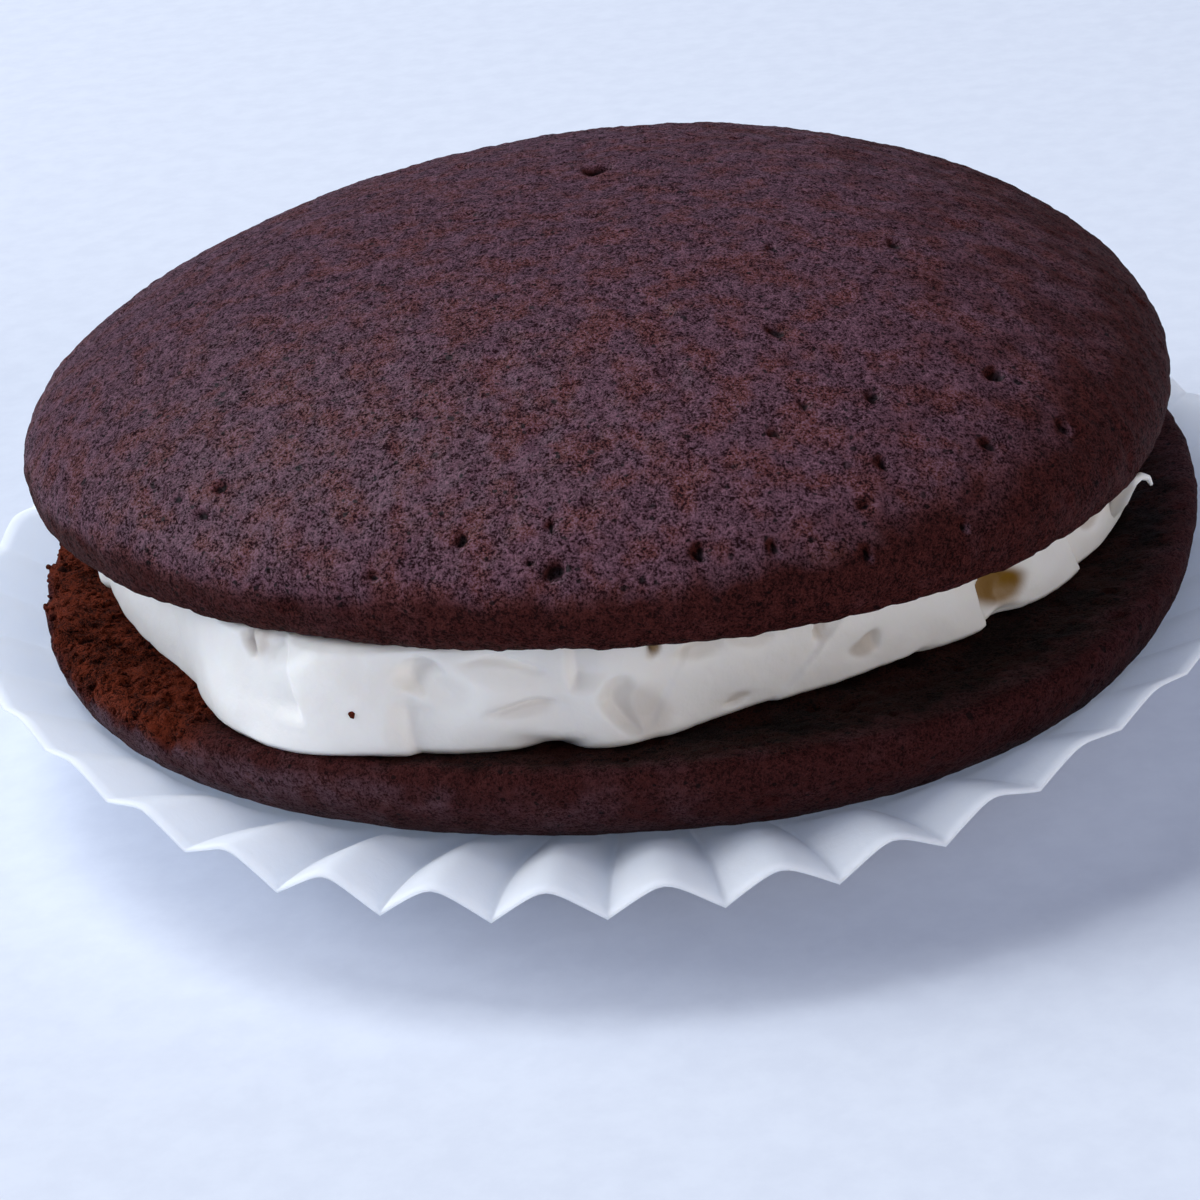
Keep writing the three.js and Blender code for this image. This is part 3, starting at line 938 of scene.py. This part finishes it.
def cream_filling(relief):
    """The spread cream: a thick lumpy disc whose wall is creased, scooped and pocketed by the knife."""
    count = 1320
    levels = np.linspace(1, 0, 49)
    bearing = np.arange(count) * (2 * math.pi / count)
    rings, pocket_shades = [], []
    for level in levels:
        reach = cream_radius(bearing, level)
        sink, pocket_shade = cream_marks(bearing, level, reach)
        foot = CREAM_FOOT_ROUNDING * (1 - smooth(0.0, 0.05, level))
        top = CREAM_TOP_ROUNDING * smooth(0.94, 1.0, level)
        reach = reach + CREAM_SKIN - sink - foot - top
        z = CREAM_LOW + level * (CREAM_HIGH - CREAM_LOW) + cream_rise(bearing, reach) * (1 - level)
        rings.append(np.stack([reach * np.sin(bearing), -reach * np.cos(bearing), z], axis=1))
        pocket_shades.append(pocket_shade)
    flat = []
    for share in (0.9, 0.6):
        flat.append(rings[0] * [share, share, 1])
        flat.append(rings[-1] * [share, share, 0] + [0, 0, CREAM_LOW])
    stack = [flat[2], flat[0], *rings, flat[1], flat[3]]
    shade_tint = [np.zeros(count)] * 2 + pocket_shades + [np.zeros(count)] * 2
    points = [np.array([[0, 0, CREAM_HIGH]]), *stack, np.array([[0, 0, CREAM_LOW]])]
    piece = mesh_piece("cream_layer", np.concatenate(points) * MM, stacked_faces(0, len(stack), count))
    write_attribute(piece.data, "pocket_shade", np.concatenate([[0], *shade_tint, [0]]))
    add_tree(
        piece, relief, Roll_Height=0.00025, Roll_Size=0.0075, Lump_Height=0.00011, Lump_Size=0.0024, Seed=5,
    )
    return make_plain(piece)


def cream_wisp(material):
    """A wisp that the knife drew out at the cream's right end: a tapered, curled thread."""
    sides = 10
    marks = np.linspace(0, len(WISP) - 1, 31)
    rows = np.stack([np.interp(marks, range(len(WISP)), column) for column in zip(*WISP)], axis=1)
    turn = np.radians(rows[:, 1])
    path = np.stack([rows[:, 0] * np.sin(turn), -rows[:, 0] * np.cos(turn), rows[:, 2]], axis=1)
    ahead = np.gradient(path, axis=0)
    ahead /= np.linalg.norm(ahead, axis=1)[:, None]
    out = np.stack([np.sin(turn), -np.cos(turn), np.zeros_like(turn)], axis=1)
    across = np.cross(ahead, out)
    across /= np.linalg.norm(across, axis=1)[:, None]
    above = np.cross(across, ahead)
    angle = np.arange(sides) * (2 * math.pi / sides)
    points = [path[:1]]
    for i, half in enumerate(rows[:, 3]):
        ring = np.cos(angle)[:, None] * across[i] + np.sin(angle)[:, None] * above[i]
        points.append(path[i] + ring * half)
    points.append(path[-1:])
    piece = mesh_piece("cream_wisp", np.concatenate(points) * MM, stacked_faces(0, len(path), sides))
    piece.data.materials.append(material)
    return piece


def paper_tree(material):
    """A round paper that hugs the cake's belly and flares out beyond it, its wall folded into flutes that
    deepen towards the edge. It stands higher at the sides, where its flutes are pulled flatter."""
    sizes = {
        "Flutes": FLUTES,
        "Points per Flute": 16,
        "Rings": 58,
        "Edge Radius": PAPER_RADIUS * MM,
        "Base Radius": PAPER_BASE_RADIUS * MM,
        "Edge Lift": EDGE_LIFT * MM,
        "Side Lift": SIDE_LIFT * MM,
        "Flute Height": FLUTE_HEIGHT * MM,
        "Unevenness": 0.5,
    }
    tree, nodes, given = new_geometry_tree("fluted paper", sizes)
    columns = given["Flutes"] * given["Points per Flute"] + 1
    grid = nodes.add(
        "GeometryNodeMeshGrid",
        None,
        {"Size X": 1.0, "Size Y": 1.0, "Vertices X": columns, "Vertices Y": given["Rings"]},
        "Mesh",
    )
    where = nodes.add("GeometryNodeInputPosition")
    turn = (nodes.split(where, 0) + 0.5) * (2 * math.pi)
    radius = (nodes.split(where, 1) + 0.5) * given["Edge Radius"]
    bearing = turn + math.radians(FIRST_CREST)
    sine = nodes.math("SINE", bearing)
    cosine = nodes.math("COSINE", bearing)
    wall = given["Edge Radius"] - given["Base Radius"]
    out = nodes.math("MAXIMUM", (radius - given["Base Radius"]) / wall, 0.0)
    round_trip = nodes.add("ShaderNodeCombineXYZ", None, {"X": sine, "Y": cosine})
    sockets = {"Vector": round_trip, "Scale": 4.0, "Detail": 1.0}
    uneven = nodes.add("ShaderNodeTexNoise", None, sockets) - 0.5
    wave = nodes.math("COSINE", turn * given["Flutes"] * 0.5)
    crease = nodes.math("ARCSINE", nodes.math("MINIMUM", nodes.math("ABSOLUTE", wave), 1.0)) * (2 / math.pi)
    sharp = nodes.math("SQRT", (1 - crease) * (1 - crease) + FOLD_ROUNDING**2)
    fold = 1 - (sharp - FOLD_ROUNDING) / FOLD_SPAN
    twisted = nodes.math("SINE", bearing + math.radians(SIDE_TWIST))
    side = nodes.step(twisted * twisted, *SIDE_SPREAD)
    depth = given["Flute Height"] * (1 - side * SIDE_FLATTENING) * (uneven * given["Unevenness"] + 1)
    lift = given["Edge Lift"] * nodes.step(out, 0.0, 1.0) + given["Side Lift"] * side * out**SIDE_FLARE
    lift = lift + depth * out * (fold - 2 / math.pi)
    share = radius / (BOTTOM_RADIUS * MM)
    waves = [(by, (bearing - math.radians(at)) * count) for count, by, at in BOTTOM_LOBES]
    grown = sum(by * nodes.math("COSINE", wave) for by, wave in waves)
    share = share / (grown * nodes.step(share, 0.3, 1.0) / BOTTOM_RADIUS + 1)
    flatness, fullness = BOTTOM_BELLY
    hollow = nodes.math("MAXIMUM", 1 - share**flatness, 0.0) ** (1 / fullness)
    rim = RIM_Z - BOTTOM_LIP - BELLY_GAP - PAPER_THICKNESS
    room = (rim - hollow * (RIM_Z - CROWN_Z - BOTTOM_LIP)) * MM + nodes.step(share, 0.99, 1.01, 0.0, 0.02)
    height = nodes.math("MAXIMUM", nodes.math("MINIMUM", lift, room), 0.0)
    sockets = {"X": radius * sine, "Y": radius * cosine * -1, "Z": height}
    spot = nodes.add("ShaderNodeCombineXYZ", None, sockets)
    shaped = nodes.add("GeometryNodeSetPosition", None, {"Geometry": grid, "Position": spot})
    closed = nodes.add("GeometryNodeMergeByDistance", None, {"Geometry": shaped, "Distance": 0.000005})
    end_tree(nodes, closed, material)
    return tree


def paper_case(material):
    """The opened paper case, with its sheet's thickness."""
    piece = mesh_piece("paper_case_sheet", np.zeros((1, 3)), [])
    add_tree(piece, paper_tree(material))
    wall = piece.modifiers.new("paper thickness", "SOLIDIFY")
    wall.thickness = PAPER_THICKNESS * MM
    wall.offset = -1.0
    return make_plain(piece)


def crumb_tree(material):
    """Small crumbs clinging to the torn cake."""
    sizes = {"Crumbs per Square Metre": 1200000.0, "Smallest": 0.00014, "Largest": 0.00034, "Seed": 4}
    tree, nodes, given = new_geometry_tree("clinging crumbs", sizes)
    density = nodes.step(field(nodes, "torn"), 0.6, 0.9) * given["Crumbs per Square Metre"]
    spots = nodes.add(
        "GeometryNodeDistributePointsOnFaces",
        {"distribute_method": "RANDOM"},
        {"Mesh": given["Geometry"], "Density": density, "Seed": given["Seed"]},
        "Points",
    )
    size = nodes.add(
        "FunctionNodeRandomValue",
        {"data_type": "FLOAT"},
        {2: given["Smallest"], 3: given["Largest"], "Seed": given["Seed"]},
        1,
    )
    turn = nodes.add(
        "FunctionNodeRandomValue",
        {"data_type": "FLOAT_VECTOR"},
        {0: (0.0, 0.0, 0.0), 1: (6.28, 6.28, 6.28), "Seed": given["Seed"]},
        0,
    )
    crumb = nodes.add("GeometryNodeMeshIcoSphere", None, {"Radius": 1.0, "Subdivisions": 2}, "Mesh")
    placed = nodes.add(
        "GeometryNodeInstanceOnPoints",
        None,
        {"Points": spots, "Instance": crumb, "Rotation": turn, "Scale": size},
    )
    real = nodes.add("GeometryNodeRealizeInstances", None, {"Geometry": placed})
    where = nodes.add("GeometryNodeInputPosition")
    push = nodes.push(where, CRUMB_LUMP_SIZE, CRUMB_LUMP_PUSH)
    moved = nodes.add("GeometryNodeSetPosition", None, {"Geometry": real, "Offset": push})
    end_tree(nodes, moved, material)
    return tree


def torn_crumbs(cake, material):
    """The crumbs on the torn place of a cake."""
    piece = bpy.data.objects.new("torn_crumbs", cake.data.copy())
    bpy.context.scene.collection.objects.link(piece)
    add_tree(piece, crumb_tree(material))
    return make_plain(piece)


def odd_crumbs(material):
    """The few crumbs that stuck to the cream and hang from the top cake's edge."""
    sides = 8
    tilts = (45, 90, 135)
    around = np.arange(sides) * (2 * math.pi / sides)
    rings = [np.array([[0, 0, 1.0]])]
    for tilt in tilts:
        sine, cosine = math.sin(math.radians(tilt)), math.cos(math.radians(tilt))
        ring = [sine * np.cos(around), sine * np.sin(around), np.full(sides, cosine)]
        rings.append(np.stack(ring, axis=1))
    rings.append(np.array([[0, 0, -1.0]]))
    ball = np.concatenate(rings)
    points, faces = [], []
    for number, (bearing, height, half, out) in enumerate(ODD_CRUMBS):
        turn = np.radians(np.array([bearing]))
        level = (height - CREAM_LOW) / (CREAM_HIGH - CREAM_LOW)
        reach = cream_radius(turn, level)[0] - cream_marks(turn, level, CRUMB_REACH)[0][0] + out
        centre = np.array([reach * math.sin(turn[0]), -reach * math.cos(turn[0]), height])
        rugged = 1 + 0.35 * np.sin(ball @ np.array([3.1, 4.7, 2.3]) + 2.1 * number)
        points.append(centre + ball * (half * rugged)[:, None])
        faces += stacked_faces(number * len(ball), len(tilts), sides)
    piece = mesh_piece("odd_crumbs", np.concatenate(points) * MM, faces)
    write_attribute(piece.data, "torn", np.ones(len(piece.data.vertices)))
    piece.data.materials.append(material)
    return piece


def floor():
    """The table under the paper."""
    corners = np.array([(-1, -1, 0), (1, -1, 0), (1, 1, 0), (-1, 1, 0)]) * TABLE_HALF
    piece = mesh_piece("table_top", corners - [0, 0, TABLE_DROP], [(0, 1, 2, 3)])
    piece.data.materials.append(floor_material())


def camera():
    """The photograph's viewpoint, in the pie's own frame."""
    lift, roll = math.radians(CAMERA_ELEVATION), math.radians(CAMERA_ROLL)
    middle = Vector((0, 0, RIM_Z))
    eye = Vector((0, -math.cos(lift), math.sin(lift))) * CAMERA_DISTANCE
    aim = Vector((CAMERA_AIM[0], 0, 0)) + Vector((0, math.sin(lift), math.cos(lift))) * CAMERA_AIM[1]
    ahead = (aim - eye).normalized()
    right = ahead.cross(Vector((0, 0, 1))).normalized()
    up = right.cross(ahead)
    across = right * math.cos(roll) - up * math.sin(roll)
    above = right * math.sin(roll) + up * math.cos(roll)
    lens = bpy.data.cameras.new("viewpoint")
    lens.lens = CAMERA_LENS
    lens.sensor_width = SENSOR_WIDTH
    lens.clip_start = 0.01
    lens.clip_end = 20
    viewer = bpy.data.objects.new("viewpoint", lens)
    turn = Matrix((across, above, -ahead)).transposed().to_4x4()
    viewer.matrix_world = Matrix.Translation((eye + middle) * MM) @ turn
    bpy.context.scene.collection.objects.link(viewer)
    bpy.context.scene.camera = viewer


def soft_light(name, place, size, power, colour):
    """A square soft light aimed at the pie."""
    lamp = bpy.data.lights.new(name, "AREA")
    lamp.size = size
    lamp.energy = power
    lamp.color = colour
    light = bpy.data.objects.new(name, lamp)
    light.visible_camera = False
    light.location = place
    aim = Vector(LIGHT_AIM) - Vector(place)
    light.rotation_euler = aim.to_track_quat("-Z", "Y").to_euler()
    bpy.context.scene.collection.objects.link(light)


def sky():
    """A soft, bluish room light from all round."""
    world = bpy.data.worlds.new("soft room")
    world.use_nodes = True
    background = world.node_tree.nodes["Background"]
    background.inputs["Color"].default_value = rgb(*SKY_COLOUR)
    background.inputs["Strength"].default_value = SKY_STRENGTH
    return world


def lights():
    """Light through two windows, and what the room throws back."""
    scene = bpy.context.scene
    scene.view_settings.view_transform = "Standard"
    scene.world = sky()
    for row in LIGHTS:
        soft_light(*row)


def dress(piece, node):
    """Lets a piece ride on the one body, in place of a solid if it has one."""
    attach(piece, "root")
    if node:
        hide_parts(node)


camera()
top_crust = crust_material("top crust", TOP_COLOURS)
bottom_crust = crust_material("bottom crust", BOTTOM_COLOURS)
cream = cream_material()
lower = bottom_cake(relief_tree(bottom_crust))
upper = top_cake(relief_tree(top_crust))
filling = cream_filling(relief_tree(cream))
paper = paper_case(paper_material())
crumbs = torn_crumbs(lower, bottom_crust)
odd = odd_crumbs(bottom_crust)
wisp = cream_wisp(cream)
dress(upper, "top_cake")
dress(filling, "cream_filling")
dress(lower, "bottom_cake")
dress(paper, "paper_case")
dress(crumbs, None)
dress(odd, None)
dress(wisp, None)
floor()
lights()
